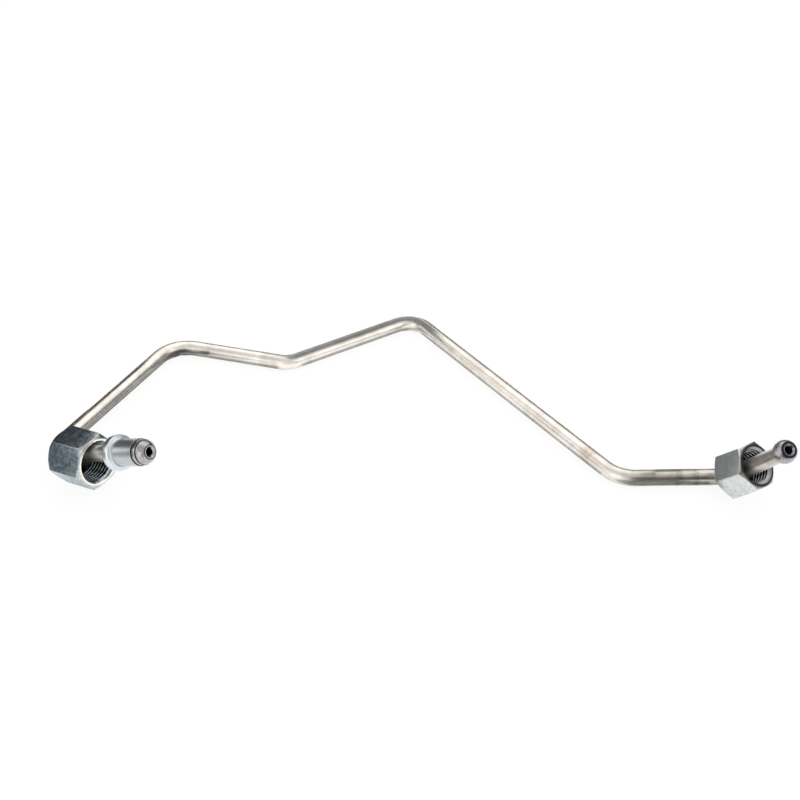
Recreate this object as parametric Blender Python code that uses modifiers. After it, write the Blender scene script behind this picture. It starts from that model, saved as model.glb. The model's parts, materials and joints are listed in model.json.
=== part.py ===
"""High pressure fuel line for an engine.

One steel tube is bent to clear the engine, with a cold formed sealing head at each end
and a bore all the way through. A thrust sleeve sits behind the left head, and a loose
union nut hangs on the tube near each end. The line lies on a flat surface, +Z is up,
and the origin is under the middle of its box.
"""
import math

import bmesh
import bpy
from mathutils import Matrix, Vector

MM = 0.001

# Tube
TUBE_OD = 6.35 * MM
BORE = 3.0 * MM
BORE_MOUTH = 4.0 * MM
BORE_MOUTH_DEPTH = 0.6 * MM
GAP = 0.3 * MM

# Runs of the tube between bend corners, with their headings from +X towards +Y
RUN_A = 87.0 * MM
RUN_B = 52.2 * MM
RUN_C = 63.4 * MM
RUN_D = 135.9 * MM
RUN_E = 42.1 * MM
HEADING_A_DEG = 63.8
HEADING_B_DEG = -15.7
HEADING_C_DEG = 33.2
HEADING_D_DEG = -55.8
HEADING_E_DEG = 1.2

# Centreline radius of each bend
BEND_LEFT = 12.0 * MM
BEND_AB = 13.0 * MM
BEND_BC = 8.5 * MM
BEND_CD = 9.5 * MM
BEND_DE = 13.0 * MM
BEND_RIGHT = 10.5 * MM
ARC_STEP_DEG = 9.0

# Straight ends, which both rise off the floor, and the lift of the corner under the left nut
LEFT_HEADING_DEG = -36.0
LEFT_RISE_DEG = 25.2
LEFT_LIFT = 0.7 * MM
RIGHT_HEADING_DEG = -67.6
RIGHT_RISE_DEG = 48.3

# Left head
LEFT_HEAD_OD = 9.6 * MM
LEFT_HEAD_TIP = 5.5 * MM
LEFT_HEAD_NOSE = 4.2 * MM
LEFT_HEAD_BAND = 0.8 * MM

# Right head
RIGHT_HEAD_OD = 8.6 * MM
RIGHT_HEAD_TIP = 6.0 * MM
RIGHT_HEAD_NOSE = 3.2 * MM
RIGHT_HEAD_BAND = 1.0 * MM

# Thrust sleeve behind the left head
SLEEVE_OD = 10.2 * MM
SLEEVE_LENGTH = 14.7 * MM
FLANGE_OD = 13.5 * MM
FLANGE_THICKNESS = 3.2 * MM
FLANGE_FILLET = 0.7 * MM
EDGE_BREAK = 0.3 * MM

# Left union nut, which droops on its straight end until it meets the tube
LEFT_NUT_ACROSS_FLATS = 19.0 * MM
LEFT_NUT_LENGTH = 17.5 * MM
LEFT_NUT_THREAD = 16.0 * MM
LEFT_NUT_HOLE = 8.2 * MM
LEFT_NUT_LAND = 3.5 * MM
LEFT_NUT_STANDOFF = 2.4 * MM
LEFT_NUT_ROLL_DEG = 4.0
LEFT_NUT_REAR_CHAMFER_DEG = 45.0
LEFT_BARE_TUBE = 13.3 * MM

# Right union nut, which sits back from the straight end onto the last bend and leans there
RIGHT_NUT_ACROSS_FLATS = 17.0 * MM
RIGHT_NUT_LENGTH = 13.7 * MM
RIGHT_NUT_THREAD = 14.0 * MM
RIGHT_NUT_HOLE = 8.2 * MM
RIGHT_NUT_LAND = 2.4 * MM
RIGHT_NUT_SETBACK = 3.0 * MM
RIGHT_NUT_LEAN_SHARE = 0.9
RIGHT_NUT_SWING_DEG = 24.2
RIGHT_NUT_DROOP_DEG = 3.9
RIGHT_NUT_ROLL_DEG = -10.0
RIGHT_NUT_REAR_CHAMFER_DEG = 25.0
RIGHT_BARE_TUBE = 23.1 * MM

# Both nuts
THREAD_PITCH = 1.5 * MM
CREST_SHARE = 0.54
SHOULDER_CONE_DEG = 50.0
FRONT_CHAMFER_DEG = 30.0
FACE_SHARE = 0.95
HOLE_BREAK = 0.4 * MM

# How far a cutter or a blank runs past the faces that it makes
OVERSHOOT = 1.0 * MM

# Facets
TUBE_RINGS = 9
BORE_RINGS = 5
TURN_STEPS = 48

STEEL = ("plain_steel", (0.50, 0.47, 0.45, 1.0), 0.35, 1.0)
ZINC = ("zinc_plate", (0.45, 0.48, 0.52, 1.0), 0.40, 1.0)


def clear_scene():
    """Remove whatever the file holds."""
    for old in list(bpy.data.objects):
        bpy.data.objects.remove(old, do_unlink=True)


def new_collection(name):
    """A collection under the scene's own."""
    made = bpy.data.collections.new(name)
    bpy.context.scene.collection.children.link(made)
    return made


def principled(name, colour, roughness, metallic):
    """A plain material with the surface values of one finish."""
    material = bpy.data.materials.new(name)
    material.use_nodes = True
    shader = material.node_tree.nodes["Principled BSDF"]
    shader.inputs["Base Color"].default_value = colour
    shader.inputs["Roughness"].default_value = roughness
    shader.inputs["Metallic"].default_value = metallic
    return material


def direction(heading, rise=0.0):
    """The unit vector of a heading from +X towards +Y and a rise above level."""
    turn = math.radians(heading)
    lift = math.radians(rise)
    return Vector((math.cos(lift) * math.cos(turn), math.cos(lift) * math.sin(turn), math.sin(lift)))


def axis_frame(origin, axis, roll=0.0):
    """A frame at origin whose Z is the axis and whose X is level before it rolls."""
    side = Vector((0.0, 0.0, 1.0)).cross(axis).normalized()
    lift = axis.cross(side)
    turn = Matrix((side, lift, axis)).transposed().to_4x4()
    return Matrix.Translation(origin) @ turn @ Matrix.Rotation(math.radians(roll), 4, "Z")


def tangent_length(before, after, radius):
    """How far a bend starts before its corner, for two unit vectors along the route."""
    return radius * math.tan(before.angle(after) / 2)


def bend_points(corner, before, after, radius):
    """Points on the arc that rounds a corner of the route."""
    turn = before.angle(after)
    reach = tangent_length(before, after, radius)
    centre = corner + (after - before).normalized() * radius / math.cos(turn / 2)
    start = corner - before * reach - centre
    pivot = before.cross(after).normalized()
    steps = max(2, math.ceil(math.degrees(turn) / ARC_STEP_DEG))
    return [centre + Matrix.Rotation(turn * k / steps, 3, pivot) @ start for k in range(steps + 1)]


def nose_profile(tip, full, length, steps=6):
    """A ball nose from the flat tip out to the full radius, as (distance back, radius)."""
    rise = full - tip
    ball = (length ** 2 + rise ** 2) / (2 * rise)
    spread = math.asin(min(1.0, length / ball))
    points = []
    for k in range(steps + 1):
        angle = spread * (1 - k / steps)
        points.append((length - ball * math.sin(angle), full - ball * (1 - math.cos(angle))))
    return points


def head_profile(tip_od, head_od, nose, band):
    """A sealing head: ball nose, straight band and a 45 degree back down to the tube."""
    full = head_od / 2
    back = full - TUBE_OD / 2
    ball = nose_profile(tip_od / 2, full, nose)
    return ball + [(nose + band, full), (nose + band + back, TUBE_OD / 2)]


LEFT_HEAD = head_profile(LEFT_HEAD_TIP, LEFT_HEAD_OD, LEFT_HEAD_NOSE, LEFT_HEAD_BAND)
RIGHT_HEAD = head_profile(RIGHT_HEAD_TIP, RIGHT_HEAD_OD, RIGHT_HEAD_NOSE, RIGHT_HEAD_BAND)


class Route:
    """The centreline of the tube, from the left tip to the right tip."""

    def __init__(self):
        flat = [(RUN_A, HEADING_A_DEG), (RUN_B, HEADING_B_DEG), (RUN_C, HEADING_C_DEG),
                (RUN_D, HEADING_D_DEG), (RUN_E, HEADING_E_DEG)]
        corners = [Vector((0.0, 0.0, TUBE_OD / 2))]
        for length, heading in flat:
            corners.append(corners[-1] + direction(heading) * length)
        corners[0].z += LEFT_LIFT
        self.left_out = direction(LEFT_HEADING_DEG, LEFT_RISE_DEG)
        self.right_out = direction(RIGHT_HEADING_DEG, RIGHT_RISE_DEG)
        along = [(second - first).normalized() for first, second in zip(corners, corners[1:])]
        ways = [-self.left_out, *along, self.right_out]
        radii = [BEND_LEFT, BEND_AB, BEND_BC, BEND_CD, BEND_DE, BEND_RIGHT]
        left_reach = tangent_length(ways[0], ways[1], BEND_LEFT)
        right_reach = tangent_length(ways[-2], ways[-1], BEND_RIGHT)
        self.left_bend_end = corners[0] + self.left_out * left_reach
        self.right_bend_end = corners[-1] + self.right_out * right_reach
        sleeve_room = LEFT_HEAD_NOSE + LEFT_HEAD_BAND + GAP + SLEEVE_LENGTH
        left_straight = LEFT_NUT_STANDOFF + LEFT_NUT_LENGTH + LEFT_BARE_TUBE + sleeve_room
        nut_room = RIGHT_NUT_LENGTH - RIGHT_NUT_LAND / 2 - RIGHT_NUT_SETBACK
        right_straight = nut_room + RIGHT_BARE_TUBE + RIGHT_HEAD[-1][0]
        self.left_tip = self.left_bend_end + self.left_out * left_straight
        self.right_tip = self.right_bend_end + self.right_out * right_straight
        self.bends = []
        for corner, before, after, radius in zip(corners, ways, ways[1:], radii):
            self.bends += bend_points(corner, before, after, radius)
        turn = RIGHT_NUT_SETBACK / BEND_RIGHT
        pivot = ways[-2].cross(ways[-1]).normalized()
        centre = self.right_bend_end + pivot.cross(self.right_out) * BEND_RIGHT
        spoke = self.right_bend_end - centre
        self.right_nut_seat = centre + Matrix.Rotation(-turn, 3, pivot) @ spoke


def sweep(name, stations, rings):
    """A closed mesh swept along points that each have a radius."""
    curve = bpy.data.curves.new(name, "CURVE")
    curve.dimensions = "3D"
    curve.bevel_depth = TUBE_OD / 2
    curve.bevel_resolution = rings
    curve.use_fill_caps = True
    spline = curve.splines.new("POLY")
    spline.points.add(len(stations) - 1)
    for point, (place, radius) in zip(spline.points, stations):
        point.co = (*place, 1.0)
        point.radius = radius / (TUBE_OD / 2)
    swept = bpy.data.objects.new(name + "_curve", curve)
    bpy.context.scene.collection.objects.link(swept)
    graph = bpy.context.evaluated_depsgraph_get()
    mesh = bpy.data.meshes.new_from_object(swept.evaluated_get(graph))
    mesh.name = name
    made = bpy.data.objects.new(name, mesh)
    made.matrix_world = swept.matrix_world
    bpy.data.objects.remove(swept, do_unlink=True)
    shape = bmesh.new()
    shape.from_mesh(mesh)
    bmesh.ops.remove_doubles(shape, verts=shape.verts, dist=0.001 * MM)
    bmesh.ops.recalc_face_normals(shape, faces=shape.faces)
    shape.to_mesh(mesh)
    shape.free()
    return made


def turned(name, profile):
    """A turned solid about local Z, from (radius, height) points down its outer side."""
    mesh = bpy.data.meshes.new(name)
    shape = bmesh.new()
    verts = [shape.verts.new((radius, 0.0, height)) for radius, height in profile]
    for first, second in zip(verts, verts[1:]):
        shape.edges.new((first, second))
    if profile[0][0] > 0:
        shape.edges.new((verts[-1], verts[0]))
    shape.to_mesh(mesh)
    shape.free()
    made = bpy.data.objects.new(name, mesh)
    lathe = made.modifiers.new("turning", "SCREW")
    lathe.axis = "Z"
    lathe.steps = TURN_STEPS
    lathe.render_steps = TURN_STEPS
    lathe.use_merge_vertices = True
    lathe.merge_threshold = 0.001 * MM
    return made


def boolean(target, cutter, operation):
    """Join, cut or trim the target by the cutter."""
    step = target.modifiers.new(cutter.name, "BOOLEAN")
    step.operation = operation
    step.solver = "EXACT"
    step.object = cutter


def finish(piece, collection, material):
    """Link a piece, shade its round faces and give it its finish."""
    collection.objects.link(piece)
    piece.data.materials.clear()
    piece.data.materials.append(material)
    piece.data.shade_smooth()
    piece.data.set_sharp_from_angle(angle=math.radians(30))


def as_cutter(piece, cutters, place):
    """Keep a helper solid out of the model, at its place."""
    cutters.objects.link(piece)
    piece.matrix_world = place
    piece.display_type = "WIRE"
    piece.hide_render = True


def fuel_tube(route, parts, cutters):
    """The tube with both sealing heads in one skin, bored through along every bend."""
    left_in = -route.left_out
    right_in = -route.right_out
    stations = [(route.left_tip + left_in * back, radius) for back, radius in LEFT_HEAD]
    stations += [(place, TUBE_OD / 2) for place in route.bends]
    stations += [(route.right_tip + right_in * back, radius) for back, radius in reversed(RIGHT_HEAD)]
    tube = sweep("fuel_tube", stations, TUBE_RINGS)
    finish(tube, parts, principled(*STEEL))
    flare = (BORE_MOUTH - BORE) / 2 / BORE_MOUTH_DEPTH
    outside = BORE_MOUTH / 2 + OVERSHOOT * flare
    inner = [(route.left_tip - left_in * OVERSHOOT, outside),
             (route.left_tip + left_in * BORE_MOUTH_DEPTH, BORE / 2)]
    inner += [(place, BORE / 2) for place in route.bends]
    inner += [(route.right_tip + right_in * BORE_MOUTH_DEPTH, BORE / 2),
              (route.right_tip - right_in * OVERSHOOT, outside)]
    bore = sweep("through_bore", inner, BORE_RINGS)
    as_cutter(bore, cutters, Matrix.Identity(4))
    boolean(tube, bore, "DIFFERENCE")
    return tube


def thrust_sleeve(route, parts):
    """The turned sleeve that carries the left nut's push to the back of the head."""
    bore = TUBE_OD / 2 + GAP
    barrel = SLEEVE_OD / 2
    flange = FLANGE_OD / 2
    lead = GAP * math.sqrt(2) - GAP
    mouth = min(LEFT_HEAD_OD / 2 + lead, barrel - EDGE_BREAK / 2)
    back = -SLEEVE_LENGTH
    root = back + FLANGE_THICKNESS
    fillet = []
    for turned_by in (90, 60, 30, 0):
        angle = math.radians(turned_by)
        fillet.append((barrel + FLANGE_FILLET * (1 - math.sin(angle)),
                       root + FLANGE_FILLET * (1 - math.cos(angle))))
    outline = [(mouth, 0.0), (barrel, 0.0), *fillet,
               (flange - EDGE_BREAK, root), (flange, root - EDGE_BREAK),
               (flange, back + EDGE_BREAK), (flange - EDGE_BREAK, back),
               (bore, back), (bore, bore - mouth)]
    sleeve = turned("thrust_sleeve", outline)
    finish(sleeve, parts, principled(*ZINC))
    shift = LEFT_HEAD_NOSE + LEFT_HEAD_BAND + GAP
    sleeve.matrix_world = axis_frame(route.left_tip - route.left_out * shift, route.left_out)
    return sleeve


def thread_core(thread):
    """The radius inside the crests of a nut's thread."""
    return thread / 2 - THREAD_PITCH * CREST_SHARE


def thread_lead(thread):
    """The depth of the 45 degree lead-in at the mouth of a nut."""
    return thread / 2 + GAP - thread_core(thread)


def free_droop(room, reach):
    """The angle at which a tube of this room, a reach from its pivot, is one gap from the wall."""
    play = room - GAP
    return math.acos(TUBE_OD / 2 / math.hypot(play, reach)) - math.atan2(reach, play)


def hanging_droop(length, thread, hole, land):
    """How far a nut droops on the straight tube before its hole or its mouth meets the tube."""
    at_hole = free_droop(hole / 2, land / 2)
    at_mouth = free_droop(thread_core(thread), length - land / 2 - thread_lead(thread))
    return math.degrees(min(at_hole, at_mouth))


def union_nut(name, place, across, length, thread, hole, land, rear_chamfer, parts, cutters):
    """A hexagon nut whose origin is in the middle of its rear hole, with its mouth at +Z."""
    back = -land / 2
    front = back + length
    corner = across / math.sqrt(3)
    mesh = bpy.data.meshes.new(name)
    shape = bmesh.new()
    bmesh.ops.create_cone(shape, cap_ends=True, segments=6, depth=length + 2 * OVERSHOOT,
                          radius1=corner, radius2=corner)
    flat_down = Matrix.Rotation(math.radians(30), 4, "Z")
    middle = Matrix.Translation((0.0, 0.0, (front + back) / 2))
    bmesh.ops.transform(shape, matrix=middle @ flat_down, verts=shape.verts)
    shape.to_mesh(mesh)
    shape.free()
    nut = bpy.data.objects.new(name, mesh)
    finish(nut, parts, principled(*ZINC))
    nut.matrix_world = place

    face = across / 2 * FACE_SHARE
    outer = corner + OVERSHOOT
    front_drop = (outer - face) * math.tan(math.radians(FRONT_CHAMFER_DEG))
    rear_drop = (outer - face) * math.tan(math.radians(rear_chamfer))
    blank = turned(name + "_corner_chamfers",
                   [(0.0, front), (face, front), (outer, front - front_drop),
                    (outer, back + rear_drop), (face, back), (0.0, back)])
    as_cutter(blank, cutters, place)
    boolean(nut, blank, "INTERSECT")

    core = thread_core(thread)
    lead = thread_lead(thread)
    mouth = core + lead
    cone = (core - hole / 2) / math.tan(math.radians(SHOULDER_CONE_DEG))
    rear = back + land
    drill = turned(name + "_stepped_bore",
                   [(0.0, front + OVERSHOOT), (mouth + OVERSHOOT, front + OVERSHOOT),
                    (core, front - lead), (core, rear + cone), (hole / 2, rear),
                    (hole / 2, back + HOLE_BREAK),
                    (hole / 2 + HOLE_BREAK + OVERSHOOT, back - OVERSHOOT), (0.0, back - OVERSHOOT)])
    as_cutter(drill, cutters, place)
    boolean(nut, drill, "DIFFERENCE")
    return nut


def rest_on_origin(parts):
    """Shift everything so the origin is under the middle of the box."""
    graph = bpy.context.evaluated_depsgraph_get()
    corners = []
    for piece in parts.objects:
        solid = piece.evaluated_get(graph)
        corners += [solid.matrix_world @ vertex.co for vertex in solid.data.vertices]
    low = Vector([min(corner[k] for corner in corners) for k in range(3)])
    high = Vector([max(corner[k] for corner in corners) for k in range(3)])
    shift = Matrix.Translation((-(low.x + high.x) / 2, -(low.y + high.y) / 2, -low.z))
    for piece in bpy.context.scene.objects:
        piece.matrix_world = shift @ piece.matrix_world


def build():
    """Make the whole fuel line."""
    clear_scene()
    parts = new_collection("high_pressure_fuel_line")
    cutters = new_collection("cutters")
    route = Route()
    fuel_tube(route, parts, cutters)
    thrust_sleeve(route, parts)

    left_seat = route.left_bend_end + route.left_out * (LEFT_NUT_STANDOFF + LEFT_NUT_LAND / 2)
    left_droop = hanging_droop(LEFT_NUT_LENGTH, LEFT_NUT_THREAD, LEFT_NUT_HOLE, LEFT_NUT_LAND)
    left_axis = direction(LEFT_HEADING_DEG, LEFT_RISE_DEG - left_droop)
    left_place = axis_frame(left_seat, left_axis, LEFT_NUT_ROLL_DEG)
    union_nut("left_union_nut", left_place, LEFT_NUT_ACROSS_FLATS,
              LEFT_NUT_LENGTH, LEFT_NUT_THREAD, LEFT_NUT_HOLE, LEFT_NUT_LAND,
              LEFT_NUT_REAR_CHAMFER_DEG, parts, cutters)

    right_axis = direction(RIGHT_HEADING_DEG + RIGHT_NUT_SWING_DEG, RIGHT_RISE_DEG - RIGHT_NUT_DROOP_DEG)
    aside = (route.right_out - right_axis * route.right_out.dot(right_axis)).normalized()
    play = (RIGHT_NUT_HOLE - TUBE_OD) / 2 - GAP
    right_seat = route.right_nut_seat + aside * play * RIGHT_NUT_LEAN_SHARE
    right_place = axis_frame(right_seat, right_axis, RIGHT_NUT_ROLL_DEG)
    union_nut("right_union_nut", right_place, RIGHT_NUT_ACROSS_FLATS,
              RIGHT_NUT_LENGTH, RIGHT_NUT_THREAD, RIGHT_NUT_HOLE, RIGHT_NUT_LAND,
              RIGHT_NUT_REAR_CHAMFER_DEG, parts, cutters)
    bpy.context.view_layer.update()
    rest_on_origin(parts)


build()
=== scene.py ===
"""High pressure fuel line for an engine, dressed for its photograph.

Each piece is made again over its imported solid, with finer edges, threads and a surface of its
own. The nuts take their places from the frame, and the tube repeats the route of its solid.
"""
import json
import math

import bmesh
import bpy
from mathutils import Matrix, Vector


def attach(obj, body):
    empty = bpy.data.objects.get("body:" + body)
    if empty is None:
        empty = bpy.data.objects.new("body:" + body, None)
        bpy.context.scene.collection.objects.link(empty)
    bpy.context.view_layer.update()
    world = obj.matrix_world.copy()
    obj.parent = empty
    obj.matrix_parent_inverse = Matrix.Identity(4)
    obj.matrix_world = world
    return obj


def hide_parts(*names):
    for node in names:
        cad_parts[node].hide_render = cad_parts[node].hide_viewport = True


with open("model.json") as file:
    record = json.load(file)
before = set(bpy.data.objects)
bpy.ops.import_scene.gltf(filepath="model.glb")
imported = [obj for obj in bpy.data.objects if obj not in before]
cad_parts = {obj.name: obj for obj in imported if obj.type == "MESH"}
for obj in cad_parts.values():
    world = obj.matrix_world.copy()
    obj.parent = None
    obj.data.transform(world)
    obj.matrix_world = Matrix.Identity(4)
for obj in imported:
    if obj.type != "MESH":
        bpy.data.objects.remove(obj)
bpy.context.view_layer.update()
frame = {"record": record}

# Fuel tube: one length of thick walled steel, drawn to size, with a ball head pressed up at
# each end. It was straight when its heads were formed, and was then bent round pins, so the
# mesh is grown straight along Z too and carried onto the route afterwards.
MM = 0.001
# The solid's tube is 6.35 mm across. This one is a hair thinner, to stay in the solid's box.
TUBE_RADIUS = 3.148 * MM
BORE_RADIUS = 1.5 * MM
MOUTH_RADIUS = 2.0 * MM
MOUTH_DEPTH = 0.6 * MM
TUBE_SIDES = 64
FIRST_CORNER = Vector((-137.692, -27.301, 3.872)) * MM
FIRST_CORNER_LIFT = 0.7 * MM
LEFT_HEADING, LEFT_RISE = -36.0, 25.2
RIGHT_HEADING, RIGHT_RISE = -67.6, 48.3
LEFT_STRAIGHT = 53.2 * MM
RIGHT_STRAIGHT = 37.925 * MM
BEND_STEP = math.radians(3)
STRAIGHT_STEP = 3 * MM
HEAD_ROOM = 7.5 * MM

# The level runs from the left, each as its length in mm and its heading in degrees, and the
# radii of the bends in mm. The two outer bends lead to the straight ends.
RUNS = [(87.0, 63.8), (52.2, -15.7), (63.4, 33.2), (135.9, -55.8), (42.1, 1.2)]
BEND_RADII = [12.0, 13.0, 8.5, 9.5, 13.0, 10.5]


def heading(turn, rise=0.0):
    """The unit vector of a heading from +X towards +Y and a rise above level, in degrees."""
    turn, rise = math.radians(turn), math.radians(rise)
    level = math.cos(rise)
    return Vector((level * math.cos(turn), level * math.sin(turn), math.sin(rise)))


def facing(origin, axis, roll=0.0):
    """A frame at origin whose Z is the axis and whose X is level before it rolls."""
    side = Vector((0.0, 0.0, 1.0)).cross(axis).normalized()
    turn = Matrix((side, axis.cross(side), axis)).transposed().to_4x4()
    return Matrix.Translation(origin) @ turn @ Matrix.Rotation(math.radians(roll), 4, "Z")


def swing(centre, pivot, angle):
    """A turn by an angle about a pivot through a centre."""
    turn = Matrix.Rotation(angle, 4, pivot)
    return Matrix.Translation(centre) @ turn @ Matrix.Translation(-centre)


LEFT_OUT = heading(LEFT_HEADING, LEFT_RISE)
RIGHT_OUT = heading(RIGHT_HEADING, RIGHT_RISE)
corners = [FIRST_CORNER]
run_height = FIRST_CORNER.z - FIRST_CORNER_LIFT
for length, turn in RUNS:
    reached = corners[-1] + heading(turn) * length * MM
    corners.append(Vector((reached.x, reached.y, run_height)))
ways = [-LEFT_OUT]
ways += [(second - first).normalized() for first, second in zip(corners, corners[1:])]
ways += [RIGHT_OUT]
bends = []
for corner, before, after, radius in zip(corners, ways, ways[1:], BEND_RADII):
    angle = before.angle(after)
    reach = radius * MM * math.tan(angle / 2)
    bends.append((corner - before * reach, before, after, radius * MM, angle))

# The legs take turns: a straight one, then a bend. Each is where it starts along the tube, the
# frame of the tube's section there, and a bend's centre, pivot and radius.
left_tip = bends[0][0] + LEFT_OUT * LEFT_STRAIGHT
legs = []
place = facing(left_tip, -LEFT_OUT)
run = 0.0
for start, before, after, radius, angle in bends:
    straight = (start - place.translation).length
    legs.append((run, place, None))
    run += straight
    place = place @ Matrix.Translation((0.0, 0.0, straight))
    pivot = before.cross(after).normalized()
    centre = start + pivot.cross(before) * radius
    legs.append((run, place, (centre, pivot, radius)))
    run += radius * angle
    place = swing(centre, pivot, angle) @ place
legs.append((run, place, None))
straight_starts = [leg[0] for leg in legs[0::2]]
bend_starts = [leg[0] for leg in legs[1::2]]
TUBE_LENGTH = run + RIGHT_STRAIGHT


def on_route(run):
    """The frame of the tube's section at a distance along it from the left tip."""
    start, place, bend = [leg for leg in legs if leg[0] <= max(run, 0.0)][-1]
    if bend is None:
        return place @ Matrix.Translation((0.0, 0.0, run - start))
    centre, pivot, radius = bend
    return swing(centre, pivot, (run - start) / radius) @ place


def grow(mesh, ring, put):
    """Extrude an open ring of edges, and put each new vertex where its old one says."""
    grown = bmesh.ops.extrude_edge_only(mesh, edges=ring)["geom"]
    fresh = {part for part in grown if isinstance(part, bmesh.types.BMVert)}
    for vert in fresh:
        vert.co = put(vert.co)
    edges = [part for part in grown if isinstance(part, bmesh.types.BMEdge)]
    return [edge for edge in edges if set(edge.verts) <= fresh]


def to_row(radius, height):
    """Where a vertex of a round row goes, at a radius and a height on Z."""
    def put(co):
        scale = radius / math.hypot(co.x, co.y)
        return Vector((co.x * scale, co.y * scale, height))
    return put


def turned_ring(sides, rows):
    """A closed ring shaped body about Z, grown row by row from (radius, height) or a placing."""
    puts = [to_row(*row) if isinstance(row, tuple) else row for row in rows]
    mesh = bmesh.new()
    bmesh.ops.create_circle(mesh, segments=sides, radius=1.0 * MM)
    first = ring = list(mesh.edges)
    for vert in mesh.verts:
        vert.co = puts[0](vert.co)
    for put in puts[1:]:
        ring = grow(mesh, ring, put)
    bmesh.ops.bridge_loops(mesh, edges=first + ring)
    bmesh.ops.recalc_face_normals(mesh, faces=mesh.faces)
    return mesh


def to_piece(name, mesh, body, node, slot, material, sharp=35):
    """Make a mesh an object of the model that stands for a solid and rides on its body."""
    data = bpy.data.meshes.new(name)
    mesh.to_mesh(data)
    mesh.free()
    data.shade_smooth()
    data.set_sharp_from_angle(angle=math.radians(sharp))
    data.materials.append(material)
    piece = bpy.data.objects.new(name, data)
    bpy.context.scene.collection.objects.link(piece)
    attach(piece, body)
    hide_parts(node)


def colour(hex_value):
    """A colour written as sRGB hex, turned to linear."""
    parts = [int(hex_value[k:k + 2], 16) / 255 for k in (0, 2, 4)]
    linear = [part / 12.92 if part <= 0.04045 else ((part + 0.055) / 1.055) ** 2.4
              for part in parts]
    return (*linear, 1.0)


def fill(tree, node, inputs):
    """Fill a node's inputs with values or links, where a node stands for its first output."""
    for name, value in inputs.items():
        if isinstance(value, bpy.types.Node):
            value = next(output for output in value.outputs if output.enabled)
        if isinstance(value, bpy.types.NodeSocket):
            tree.links.new(value, node.inputs[name])
        else:
            node.inputs[name].default_value = value


def add_node(tree, kind, inputs, **settings):
    """Add a node with its settings, and fill its inputs.

    A Mix node has inputs of the same name, so its share is 0, its colours are 6 and 7, and its
    numbers are 2 and 3.
    """
    made = tree.nodes.new("ShaderNode" + kind)
    for name, value in settings.items():
        setattr(made, name, value)
    fill(tree, made, inputs)
    return made


def new_material(name):
    """A new material and its node tree."""
    made = bpy.data.materials.new(name)
    made.use_nodes = True
    return made, made.node_tree


# Drawn and pickled steel: a warm silver with a satin lustre, along which the die leaves faint
# lines, drawn coarser than the real ones so that they show. It is painted darker from the last
# run on, as painted shade, and it is stained brown by three bends. The pressed heads are lilac
# grey and finely pitted.
HAIR_LINE = 1.1 * MM
HAIR_LINE_STRETCH = 0.03
CLOUD = 5 * MM
PIT = 0.6 * MM
BUMP = 0.03 * MM
BAND_CORE = 0.35
STAINS = [(bend_starts[2] - 4 * MM, 5 * MM), (bend_starts[4] - 9 * MM, 6 * MM),
          (bend_starts[1] + 2 * MM, 4 * MM)]
SCUFFS = [(straight_starts[5] + 15.5 * MM, 2.2 * MM), (straight_starts[5] + 22.0 * MM, 1.4 * MM)]
steel, tree = new_material("drawn_steel")
on_tube = add_node(tree, "Attribute", {}, attribute_name="drawn").outputs["Vector"]
from_left = add_node(tree, "SeparateXYZ", {0: on_tube}).outputs["Z"]
from_right = add_node(tree, "Math", {0: TUBE_LENGTH, 1: from_left}, operation="SUBTRACT")
sideways = add_node(tree, "VectorMath", {0: on_tube, 1: (1.0, 1.0, 0.0)}, operation="MULTIPLY")
off_axis = add_node(tree, "VectorMath", {0: sideways}, operation="LENGTH").outputs["Value"]
stretched = add_node(tree, "Mapping", {"Vector": on_tube, "Scale": (1.0, 1.0, HAIR_LINE_STRETCH)})
lines = add_node(tree, "TexNoise", {"Vector": stretched, "Scale": 1 / HAIR_LINE, "Detail": 1.0})
cloud = add_node(tree, "TexNoise", {"Vector": on_tube, "Scale": 1 / CLOUD, "Detail": 3.0})
pits = add_node(tree, "TexNoise", {"Vector": on_tube, "Scale": 1 / PIT, "Detail": 4.0})

# Soft edged bands round the tube, each at a distance along it and with a half width.
shares = {}
for name, spots in (("stained", STAINS), ("scuffed", SCUFFS)):
    shares[name] = 0.0
    for run, half in spots:
        off = add_node(tree, "Math", {0: from_left, 1: run}, operation="SUBTRACT")
        away = add_node(tree, "Math", {0: off}, operation="ABSOLUTE")
        band = add_node(tree, "MapRange", {"Value": away, "From Min": half,
                                           "From Max": BAND_CORE * half})
        shares[name] = add_node(tree, "Math", {0: shares[name], 1: band}, operation="MAXIMUM")

# Other shares of the skin: what each follows, where it is nothing and where it is full. Both
# tips get a ring outside the mouth painted near black, a painted reflection, and the left head's
# groove is painted dark too, as painted shade.
for name, value, nothing, full in (
        ("mottled", cloud, 0.35, 0.65),
        ("pitted", pits, 0.35, 0.65),
        ("patchy", cloud, 0.4, 0.65),
        ("scraped", pits, 0.42, 0.55),
        # painted shade, full from the last run on
        ("last_run_shade", from_left, bend_starts[4], straight_starts[5]),
        ("left_pressed", from_left, 5.5 * MM, 4.6 * MM),
        ("right_pressed", from_right, 9.0 * MM, 4.5 * MM),
        ("left_tip", from_left, 0.12 * MM, 0.03 * MM),
        ("outside_left_mouth", off_axis, 2.3 * MM, 2.4 * MM),
        ("right_tip", from_right, 0.3 * MM, 0.1 * MM),
        ("outside_right_mouth", off_axis, 2.05 * MM, 2.15 * MM),
        ("past_groove_start", from_left, 2.55 * MM, 2.75 * MM),
        ("before_groove_end", from_left, 3.3 * MM, 3.15 * MM)):
    shares[name] = add_node(tree, "MapRange", {"Value": value, "From Min": nothing,
                                               "From Max": full})
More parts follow.
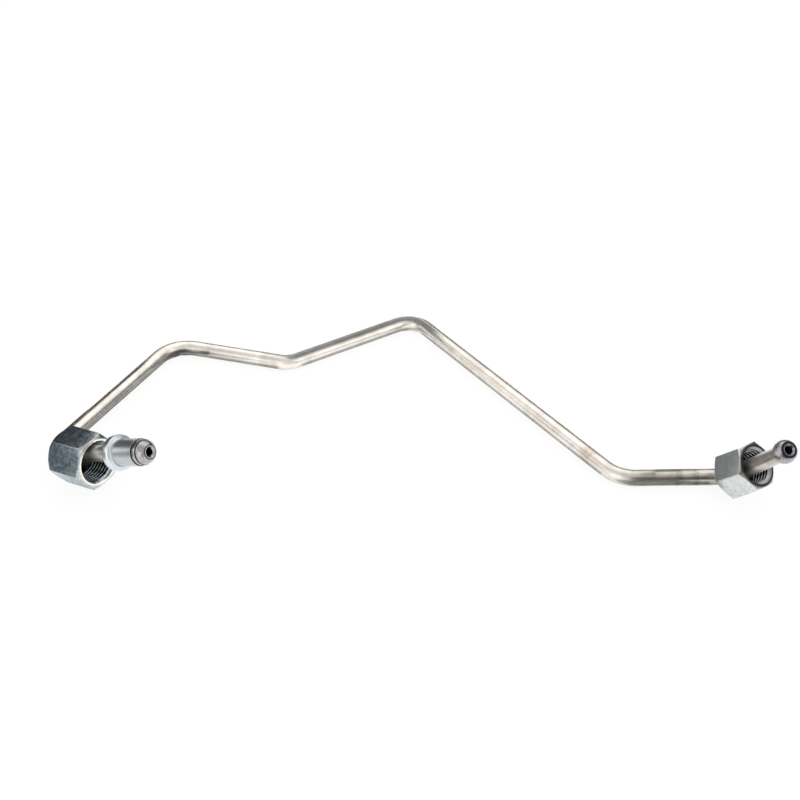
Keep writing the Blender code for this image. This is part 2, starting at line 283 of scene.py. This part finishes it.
for name, operation, first, second in (
        ("stained", "MULTIPLY", "stained", "patchy"),
        ("scuffed", "MULTIPLY", "scuffed", "scraped"),
        ("pressed", "MAXIMUM", "left_pressed", "right_pressed"),
        ("left_ring", "MULTIPLY", "left_tip", "outside_left_mouth"),
        ("right_ring", "MULTIPLY", "right_tip", "outside_right_mouth"),
        ("groove", "MULTIPLY", "past_groove_start", "before_groove_end"),
        ("painted_tip_rings", "MAXIMUM", "left_ring", "right_ring"),
        ("painted_dark_lines", "MAXIMUM", "painted_tip_rings", "groove")):
    shares[name] = add_node(tree, "Math", {0: shares[first], 1: shares[second]},
                            operation=operation)
tints = {}
for name, share, low, high in (
        ("fresh", "mottled", "C4BEB7", "D8D3CD"),
        # a darker copy of the fresh steel, for painted shade
        ("shaded", "mottled", "AAA49C", "BFBAB2"),
        ("formed", "pitted", "828084", "A8A4A5")):
    tints[name] = add_node(tree, "Mix", {0: shares[share], 6: colour(low), 7: colour(high)},
                           data_type="RGBA")
skin = tints["fresh"]
for share, over in (("last_run_shade", tints["shaded"]), ("stained", colour("B5A99E")),
                    ("scuffed", colour("8C8782")), ("pressed", tints["formed"]),
                    # near black: painted reflection on the tip rings and painted shade in the
                    # groove
                    ("painted_dark_lines", colour("22242E"))):
    skin = add_node(tree, "Mix", {0: shares[share], 6: skin, 7: over}, data_type="RGBA")
gloss = add_node(tree, "MapRange", {"Value": lines, "From Min": 0.3, "From Max": 0.7,
                                    "To Min": 0.3, "To Max": 0.36})
for share, change in (("right_pressed", 0.03), ("left_pressed", -0.1)):
    gloss = add_node(tree, "Math", {0: shares[share], 1: change, 2: gloss},
                     operation="MULTIPLY_ADD")
relief = add_node(tree, "Mix", {0: shares["pressed"], 2: lines, 3: pits})
bump = add_node(tree, "Bump", {"Height": relief, "Strength": 0.1, "Distance": BUMP})
fill(tree, tree.nodes["Principled BSDF"],
     {"Metallic": 1.0, "Base Color": skin, "Roughness": gloss, "Normal": bump})

# Left head, from its tip: flat tip, ball nose, a turned groove, a band and a 45 degree back.
# The right head is a rounder bulb with a wide flat tip and a soft neck. Each point of these
# outlines is a radius and a distance from the tip, in mm.
SKIN_RADIUS = TUBE_RADIUS / MM
left_head = [(2.66, 0.0), (2.75, 0.08), (3.35, 0.62), (3.83, 1.2), (4.2, 1.8), (4.42, 2.35),
             (4.52, 2.75), (4.5, 2.86), (4.38, 2.92), (4.38, 3.1), (4.62, 3.18), (4.76, 3.3),
             (4.8, 3.5), (4.8, 4.9), (4.74, 5.04), (3.26, 6.52), (3.18, 6.62), (SKIN_RADIUS, 6.8)]
right_head = [(2.9, 0.0), (3.0, 0.08), (3.42, 0.52), (3.77, 1.1), (4.05, 1.75), (4.23, 2.5),
              (4.3, 3.2), (4.3, 4.0), (4.22, 4.3), (4.0, 4.6), (3.7, 4.9), (3.4, 5.2),
              (3.22, 5.5), (SKIN_RADIUS, 5.9)]
rows = [(radius * MM, back * MM) for radius, back in left_head]
inner_rows = [(MOUTH_RADIUS, 0.0), (BORE_RADIUS, MOUTH_DEPTH)]
ends = [leg[0] for leg in legs[1:]] + [TUBE_LENGTH]
for (start, place, bend), end in zip(legs, ends):
    if bend is None:
        start = max(start, HEAD_ROOM)
        end = min(end, TUBE_LENGTH - HEAD_ROOM)
        steps = round((end - start) / STRAIGHT_STEP)
        stations = [start + (end - start) * k / steps for k in range(1, steps)]
    else:
        bend_radius = bend[2]
        steps = max(2, round((end - start) / bend_radius / BEND_STEP))
        stations = [start + (end - start) * k / steps for k in range(steps + 1)]
    rows += [(TUBE_RADIUS, station) for station in stations]
    inner_rows += [(BORE_RADIUS, station) for station in stations]
rows += [(radius * MM, TUBE_LENGTH - back * MM) for radius, back in reversed(right_head)]
inner_rows += [(BORE_RADIUS, TUBE_LENGTH - MOUTH_DEPTH), (MOUTH_RADIUS, TUBE_LENGTH)]
tube = turned_ring(TUBE_SIDES, rows + inner_rows[::-1])
straight_place = tube.verts.layers.float_vector.new("drawn")
for vert in tube.verts:
    vert[straight_place] = vert.co
    vert.co = on_route(vert.co.z) @ Vector((vert.co.x, vert.co.y, 0.0))
to_piece("bent_tube", tube, "line", "fuel_tube", "tube_steel", steel)

# Thrust sleeve: turned from steel bar and zinc plated bright. Its flange takes the push of
# the left nut and is painted the palest part, a painted highlight, and its mouth bears on the
# back of the head.
SLEEVE_SIDES = 96
SLEEVE_SETBACK = 5.3 * MM
FLANGE_TOP = -11.2 * MM

# Each point of its outline is a radius and a height from the mouth, in mm.
sleeve_outline = [(4.95, 0.0), (5.02, 0.0), (5.1, -0.08), (5.1, -10.8), (5.19, -11.15),
                  (5.45, -11.41), (5.8, -11.5), (6.2, -11.5), (6.5, -11.62), (6.68, -11.9),
                  (6.75, -12.3), (6.75, -13.9), (6.68, -14.3), (6.5, -14.58), (6.2, -14.7),
                  (3.6, -14.7), (3.475, -14.58), (3.475, -1.45)]
sleeve_rows = [(radius * MM, height * MM) for radius, height in sleeve_outline]
sleeve = turned_ring(SLEEVE_SIDES, sleeve_rows)
on_flange = sleeve.verts.layers.float.new("flange")
for vert in sleeve.verts:
    vert[on_flange] = 1.0 if vert.co.z < FLANGE_TOP else 0.0
sleeve.transform(facing(left_tip - LEFT_OUT * SLEEVE_SETBACK, LEFT_OUT))

# Bright zinc plate: a cool silver, a little hazy, with soft reflections.
HAZE = 2.5 * MM
bright, tree = new_material("bright_zinc_plate")
spot = add_node(tree, "TexCoord", {}).outputs["Object"]
haze = add_node(tree, "TexNoise", {"Vector": spot, "Scale": 1 / HAZE, "Detail": 3.0})
flange = add_node(tree, "Attribute", {}, attribute_name="flange").outputs["Fac"]
tint = add_node(tree, "Mix", {0: haze, 6: colour("949A9C"), 7: colour("AEB3B5")},
                data_type="RGBA")
# The flange is painted paler than the body: a painted highlight.
tint = add_node(tree, "Mix", {0: flange, 6: tint, 7: colour("BFC5C8")}, data_type="RGBA")
gloss = add_node(tree, "MapRange", {"Value": haze, "To Min": 0.3, "To Max": 0.38})
fill(tree, tree.nodes["Principled BSDF"],
     {"Metallic": 1.0, "Base Color": tint, "Roughness": gloss})
to_piece("flanged_sleeve", sleeve, "line", "thrust_sleeve", "sleeve_zinc", bright)

# Union nuts: hexagon bar, bored, threaded and zinc plated. The left one is barrelled, so its
# plate is blue-grey and mottled, and the right one is smoother. The thread is a real helix.
NUT_SIDES = 192
FLAT_TURN = math.radians(60)
THREAD_PITCH = 1.5 * MM
THREAD_ROW = 0.1 * MM
CREST_SHARE = 0.54
CUT_SHARPNESS = 0.75
RELIEF_CONE = 50.0
MOUTH_ROOM = 0.3 * MM
LIP = 0.25 * MM
LIP_GROUND = 0.4 * MM
HOLE_BREAK = 0.4 * MM
FACE_SHARE = 0.95
FACE_EDGE = 0.06 * MM
FRONT_CHAMFER = 30.0
EDGE_ROUND = 0.22 * MM
EDGE_ANGLE = math.radians(12)

# How dark the painted shade inside the nut is, from 0 to 1: behind the thread, at the
# thread's crests and at its roots. The painted dark reflection of a dark front face spills as
# painted shade onto the crests and onto the lead-in.
HOLE_DARK = 0.92
CREST_DARK = 0.15
ROOT_DARK = 0.97
ROOT_CURVE = 0.6
CREST_SPILL = 0.2
LEAD_IN_SPILL = 0.6
# How pale the front face is painted where it is not dark: a painted highlight.
FACE_RUBBED = 0.4
HOLE_EDGE = 0.5 * MM
FRONT_SKIN = 0.12 * MM
HAIR = 0.01 * MM


def zinc_plate(name, dark, pale, blotch, rough, depth):
    """Zinc plate whose crystals and barrelling show as blotches of a given size.

    It is painted dark inside, as painted shade deepest in the thread's roots, and on a dark front
    face, as a painted reflection; its edges are pale, partly wear and partly painted highlight.
    """
    made, tree = new_material(name)
    spot = add_node(tree, "TexCoord", {}).outputs["Object"]
    bore = add_node(tree, "Attribute", {}, attribute_name="bore").outputs["Fac"]
    rubbed = add_node(tree, "Attribute", {}, attribute_name="rubbed").outputs["Fac"]
    large = add_node(tree, "TexNoise", {"Vector": spot, "Scale": 1 / blotch, "Detail": 2.0,
                                        "Roughness": 0.55})
    crystals = add_node(tree, "TexVoronoi", {"Vector": spot, "Scale": 1 / (0.5 * blotch)})
    both = add_node(tree, "Math", {0: large, 1: crystals}, operation="MULTIPLY")
    spread = add_node(tree, "MapRange", {"Value": both, "From Min": 0.1, "From Max": 0.4})
    tint = colour(dark)
    # Painted shade and painted dark reflection go near black; edge wear and painted highlights go
    # cream.
    for share, over in ((spread, pale), (bore, "14171C"), (rubbed, "EEE6D6")):
        tint = add_node(tree, "Mix", {0: share, 6: tint, 7: colour(over)}, data_type="RGBA")
    gloss = add_node(tree, "MapRange", {"Value": large, "To Min": rough - 0.06,
                                        "To Max": rough + 0.08})
    bump = add_node(tree, "Bump", {"Height": both, "Strength": 1.0, "Distance": depth})
    fill(tree, tree.nodes["Principled BSDF"],
         {"Metallic": 1.0, "Base Color": tint, "Roughness": gloss, "Normal": bump})
    return made


def union_nut(across, length, thread, hole, land, rear_chamfer, rim, lip):
    """A union nut about Z, with the middle of its rear hole at the origin and its mouth up.

    Its front face gets a painted dark reflection, and the edge of its mouth a painted highlight,
    each as strong as its argument says.
    """
    back = -land / 2
    front = back + length
    face = across / 2 * FACE_SHARE
    core = thread / 2 - THREAD_PITCH * CREST_SHARE
    mouth = thread / 2 + MOUTH_ROOM
    shoulder = back + land + (core - hole / 2) / math.tan(math.radians(RELIEF_CONE))

    def to_hexagon(base, chamfer):
        """Rows where the flats meet the chamfer, in degrees, that starts from a base height."""
        slope = math.tan(math.radians(chamfer))

        def put(co):
            turn = math.atan2(co.y, co.x)
            off = (turn - FLAT_TURN / 2) % FLAT_TURN
            radius = across / 2 / math.cos(min(off, FLAT_TURN - off))
            height = base + (radius - face) * slope
            return Vector((radius * math.cos(turn), radius * math.sin(turn), height))
        return put

    def to_thread(height):
        """A row of the thread, which is cut away where the 45 degree lead-in is wider."""
        fade = min(1.0, max(0.0, (height - shoulder) / THREAD_PITCH))

        def put(co):
            turn = math.atan2(co.y, co.x)
            wave = math.sin(math.tau * height / THREAD_PITCH - turn)
            cut = min(1.0, max(0.0, 0.5 + CUT_SHARPNESS * wave)) * fade
            radius = max(core + (thread / 2 - core) * cut, mouth - (front - height))
            return Vector((radius * math.cos(turn), radius * math.sin(turn), height))
        return put

    rows = [(hole / 2 + HOLE_BREAK, back), (face, back), to_hexagon(back, rear_chamfer),
            to_hexagon(front, -FRONT_CHAMFER), (face, front), (face - FACE_EDGE, front),
            (mouth + LIP_GROUND, front), (mouth + LIP, front), (mouth, front)]
    steps = int((front - shoulder) / THREAD_ROW)
    rows += [to_thread(front - (front - shoulder) * k / steps) for k in range(1, steps + 1)]
    rows += [(hole / 2, back + land), (hole / 2, back + HOLE_BREAK)]
    mesh = turned_ring(NUT_SIDES, rows)
    sharp = [edge for edge in mesh.edges
             if edge.calc_face_angle(0.0) > EDGE_ANGLE
             and min(math.hypot(vert.co.x, vert.co.y) for vert in edge.verts) > face - HAIR]
    rounded = bmesh.ops.bevel(mesh, geom=sharp, offset=EDGE_ROUND, offset_type="OFFSET",
                              segments=2, profile=0.5, affect="EDGES", material=-1,
                              clamp_overlap=True)
    bmesh.ops.recalc_face_normals(mesh, faces=mesh.faces)
    bore = mesh.verts.layers.float.new("bore")
    rubbed = mesh.verts.layers.float.new("rubbed")
    edge_faces = set(rounded["faces"])
    for vert in mesh.verts:
        radius = math.hypot(vert.co.x, vert.co.y)
        height = vert.co.z
        within_mouth = radius < mouth + HAIR
        # The rounded outer edges are painted pale: partly wear, partly painted highlight.
        if edge_faces.issuperset(vert.link_faces):
            vert[rubbed] = 1.0
        # The front face takes a painted dark reflection, and the mouth's edge and the face a
        # painted highlight.
        if height > front - FRONT_SKIN and radius > mouth - HAIR:
            vert[bore] = rim
            on_lip = radius < mouth + LIP + HAIR
            vert[rubbed] = lip if on_lip else max(vert[rubbed], FACE_RUBBED) * (1.0 - rim)
        # Inside, the hole, the thread and the lead-in take painted shade, darkest in the thread's
        # roots.
        elif radius < hole / 2 + HOLE_EDGE or within_mouth and height < shoulder:
            vert[bore] = HOLE_DARK
        elif within_mouth and height < front - (mouth - core):
            depth = max(0.0, (radius - core) / (thread / 2 - core))
            vert[bore] = min(ROOT_DARK, CREST_DARK + CREST_SPILL * rim + depth ** ROOT_CURVE)
        elif radius < mouth - HAIR:
            vert[bore] = LEAD_IN_SPILL * rim
    return mesh


# The left plate gives a cloudy blue-grey, and the right one a paler and smoother grey.
mottled = zinc_plate("mottled_zinc_plate", dark="73818B", pale="A8B0B5", blotch=2.2 * MM,
                     rough=0.28, depth=0.035 * MM)
even = zinc_plate("even_zinc_plate", dark="B5B8B8", pale="C8CACA", blotch=2.4 * MM,
                  rough=0.3, depth=0.012 * MM)
joints = {joint["name"]: joint for joint in frame["record"]["behaviour"]["joints"]}
# The right nut's front face gets a painted dark reflection, and the left nut's mouth edge a
# painted highlight.
left_sizes = {"across": 19.0 * MM, "length": 17.5 * MM, "thread": 16.0 * MM, "hole": 8.2 * MM,
              "land": 3.5 * MM, "rear_chamfer": 45.0, "rim": 0.0, "lip": 1.0}
right_sizes = {"across": 17.0 * MM, "length": 13.7 * MM, "thread": 14.0 * MM, "hole": 8.2 * MM,
               "land": 2.4 * MM, "rear_chamfer": 25.0, "rim": 0.93, "lip": 0.0}
for body, node, slot, plate, roll, sizes in (
        ("left_nut", "left_union_nut", "left_nut_zinc", mottled, 4.0, left_sizes),
        ("right_nut", "right_union_nut", "right_nut_zinc", even, -10.0, right_sizes)):
    nut = union_nut(**sizes)
    spin = joints[body + "_spin"]
    nut.transform(facing(Vector(spin["pos_m"]), Vector(spin["axis"]), roll))
    to_piece("threaded_" + body, nut, body, node, slot, plate, sharp=25)

# Studio: white paper under a plain white sky, with flags and cards by the line that only
# mirrored rays see. They are dark where the metal in the photo mirrors the unlit room, and
# grey, pale or light where it mirrors something duller than the lit paper.
PAPER_SIZE = 3.0
PAPER_IN_CAMERA = 0.91
PAPER_IN_METAL = 0.4
ON_PAPER = 0.1 * MM


def staged(name, mesh, material):
    """Put a mesh of the studio in the scene."""
    data = bpy.data.meshes.new(name)
    mesh.to_mesh(data)
    mesh.free()
    data.materials.append(material)
    made = bpy.data.objects.new(name, data)
    bpy.context.scene.collection.objects.link(made)
    return made


# White paper: it glows to the camera and a little to the metal, and takes soft shadows.
paper, tree = new_material("white_paper")
tree.nodes.clear()
rays = add_node(tree, "LightPath", {}).outputs
mirrored = add_node(tree, "Math", {0: rays["Is Glossy Ray"], 1: rays["Is Transmission Ray"]},
                    operation="MAXIMUM")
in_camera = add_node(tree, "Math", {0: rays["Is Camera Ray"], 1: PAPER_IN_CAMERA},
                     operation="MULTIPLY")
seen = add_node(tree, "Math", {0: mirrored, 1: PAPER_IN_METAL, 2: in_camera},
                operation="MULTIPLY_ADD")
glow = add_node(tree, "Emission", {"Strength": seen})
white = add_node(tree, "Mix", {0: mirrored, 6: colour("505050"), 7: colour("F0F0F0")},
                 data_type="RGBA")
matt = add_node(tree, "BsdfDiffuse", {"Color": white})
both = add_node(tree, "AddShader", {0: glow, 1: matt})
add_node(tree, "OutputMaterial", {"Surface": both})
floor_mesh = bmesh.new()
bmesh.ops.create_grid(floor_mesh, x_segments=1, y_segments=1, size=PAPER_SIZE)
staged("floor", floor_mesh, paper)


def plain_cloth(name, shade, glow=0.0):
    """A matt cloth of one shade, which may glow a little, as a painted reflection."""
    made, tree = new_material(name)
    fill(tree, tree.nodes["Principled BSDF"],
         {"Base Color": colour(shade), "Roughness": 0.9, "Emission Color": colour(shade),
          "Emission Strength": glow})
    return made


black = plain_cloth("black_cloth", "2C3236")
slate = plain_cloth("slate_cloth", "4E5458")
grey = plain_cloth("grey_cloth", "A2A8AC")
pale = plain_cloth("pale_cloth", "A9ADAD")
light = plain_cloth("light_cloth", "CCD0D0")
# This cloth glows though it is no lamp: a painted reflection over the third run.
dim = plain_cloth("glowing_grey_cloth", "888E92", glow=0.8)


def hide_but_in_metal(piece):
    """Let a piece of the studio be seen by mirrored rays alone."""
    piece.visible_camera = False
    piece.visible_diffuse = False
    piece.visible_shadow = False


# Flags: curved walls round a middle, from one heading to another in degrees. Some have a foot
# that lies on the paper, towards the middle.
FLAG_STEP = 5


def flag(name, middle, radius, first, last, top, low=ON_PAPER, foot=0.0, cloth=black):
    """Spin the upright outline of a flag, and of its foot if it has one."""
    mesh = bmesh.new()
    outline = [(radius - foot, low)] if foot else []
    outline += [(radius, low), (radius, top)]
    verts = [mesh.verts.new(middle + heading(first) * reach + Vector((0.0, 0.0, height)))
             for reach, height in outline]
    edges = [mesh.edges.new(pair) for pair in zip(verts, verts[1:])]
    steps = max(2, round((last - first) / FLAG_STEP))
    bmesh.ops.spin(mesh, geom=verts + edges, cent=middle, axis=(0.0, 0.0, 1.0),
                   angle=math.radians(last - first), steps=steps, use_merge=False)
    hide_but_in_metal(staged(name, mesh, cloth))


last_run_middle = (corners[4] + corners[5]) / 2
left_spot = Vector((corners[0].x + 8 * MM, corners[0].y - 8 * MM, 0.0))
right_spot = Vector((corners[5].x, corners[5].y, 0.0))
bend_spot = Vector((corners[1].x, corners[1].y, 0.0))
flag("back_flag", Vector(), 1.0, 0, 160, top=0.49)
flag("last_run_flag", last_run_middle, 85 * MM, -108, -57, top=100 * MM)
flag("left_nut_flag", left_spot, 50 * MM, 95, 178, top=90 * MM, foot=38 * MM, cloth=slate)
flag("left_nut_grey_flag", left_spot, 50 * MM, 178, 225, top=32 * MM, foot=38 * MM, cloth=grey)
flag("first_bend_flag", bend_spot, 18 * MM, -75, -40, top=9 * MM, foot=11 * MM)
flag("right_nut_flag", right_spot, 28 * MM, 110, 174, top=40 * MM, foot=16 * MM, cloth=pale)
flag("right_nut_front_flag", right_spot, 28 * MM, 174, 205, top=40 * MM, low=7.5 * MM,
     cloth=pale)

# Cards lie level by the runs, on the paper or as covers above it. Each reaches from one place
# to another ahead of its run's middle, and from one to another to its left, in mm.
# The pale and light cards on the paper close beside the runs are painted shadow: they stand for
# the paper shaded next to the tube, as the metal mirrors it.
COVER_HEIGHT = 20 * MM
for name, number, height, ahead, aside, cloth in (
        ("first_run_card", 0, ON_PAPER, (-22, 30), (-32, -9), black),
        ("first_run_shadow_card", 0, ON_PAPER, (-22, 40), (-8, -2), pale),
        ("second_run_shadow_card", 1, ON_PAPER, (-20, 22), (-7, -2), light),
        ("third_run_shadow_card", 2, ON_PAPER, (-26, 26), (-7, -2), light),
        ("fourth_run_shadow_card", 3, ON_PAPER, (-60, 60), (-7, -2), light),
        ("first_run_cover", 0, COVER_HEIGHT, (-35, 40), (6, 25), black),
        ("third_run_cover", 2, COVER_HEIGHT, (-31, 40), (-8, 16), dim),
        ("last_run_card", 4, ON_PAPER, (-26, 8), (-60, -11), black),
        ("last_run_shadow_card", 4, ON_PAPER, (-26, 14), (-11, -3), pale)):
    start, end = corners[number], corners[number + 1]
    along = (end - start).normalized()
    left = Vector((-along.y, along.x, 0.0))
    card = bmesh.new()
    verts = []
    for forth, off in ((0, 0), (1, 0), (1, 1), (0, 1)):
        spot = (start + end) / 2 + along * ahead[forth] * MM + left * aside[off] * MM
        verts.append(card.verts.new((spot.x, spot.y, height)))
    card.faces.new(verts)
    hide_but_in_metal(staged(name, card, cloth))

# Sky: plain white, so that nothing in the metal has a colour that the photo's room lacks.
world = bpy.data.worlds.new("white_sky")
bpy.context.scene.world = world
world.use_nodes = True
fill(world.node_tree, world.node_tree.nodes["Background"],
     {"Color": (1.0, 1.0, 1.0, 1.0), "Strength": 1.0})

# Lamps: soft boxes to the sides and one above, a little warm. Each looks a given level
# bright, whatever its size and distance.
BOX_DISTANCE = 1.1
BOX_COLOUR = (1.0, 0.985, 0.96)


def soft_box(name, place, wide, high, level):
    """A soft box that faces the origin from a place."""
    data = bpy.data.lights.new(name, "AREA")
    data.shape = "RECTANGLE"
    data.size = wide
    data.size_y = high
    data.energy = math.pi * wide * high * level
    data.color = BOX_COLOUR
    made = bpy.data.objects.new(name, data)
    made.matrix_world = facing(place, place.normalized())
    made.visible_camera = False
    bpy.context.scene.collection.objects.link(made)


for name, turn, height, wide, high, level in (
        ("left_box", 178, 0.36, 0.9, 0.74, 1.0),
        ("front_left_box", -128, 0.36, 0.8, 0.74, 1.05),
        ("right_box", -26, 0.42, 0.95, 0.84, 1.05)):
    soft_box(name, heading(turn) * BOX_DISTANCE + Vector((0.0, 0.0, height)), wide, high, level)
soft_box("top_box", Vector((0.2, 0.6, 1.1)), 2.2, 1.2, 0.9)

# Camera: the photo's own view, from 35 degrees above level and 0.6 m away.
CAMERA_PLACE = Vector((-2.172, -486.471, 355.972)) * MM
CAMERA_TILT = 54.6
CAMERA_LENS = 67.5
SENSOR_WIDTH = 36.0
camera_data = bpy.data.cameras.new("camera")
camera_data.lens = CAMERA_LENS
camera_data.sensor_width = SENSOR_WIDTH
camera = bpy.data.objects.new("camera", camera_data)
camera.location = CAMERA_PLACE
camera.rotation_euler = (math.radians(CAMERA_TILT), 0.0, 0.0)
bpy.context.scene.collection.objects.link(camera)
bpy.context.scene.camera = camera
bpy.context.scene.view_settings.view_transform = "Standard"
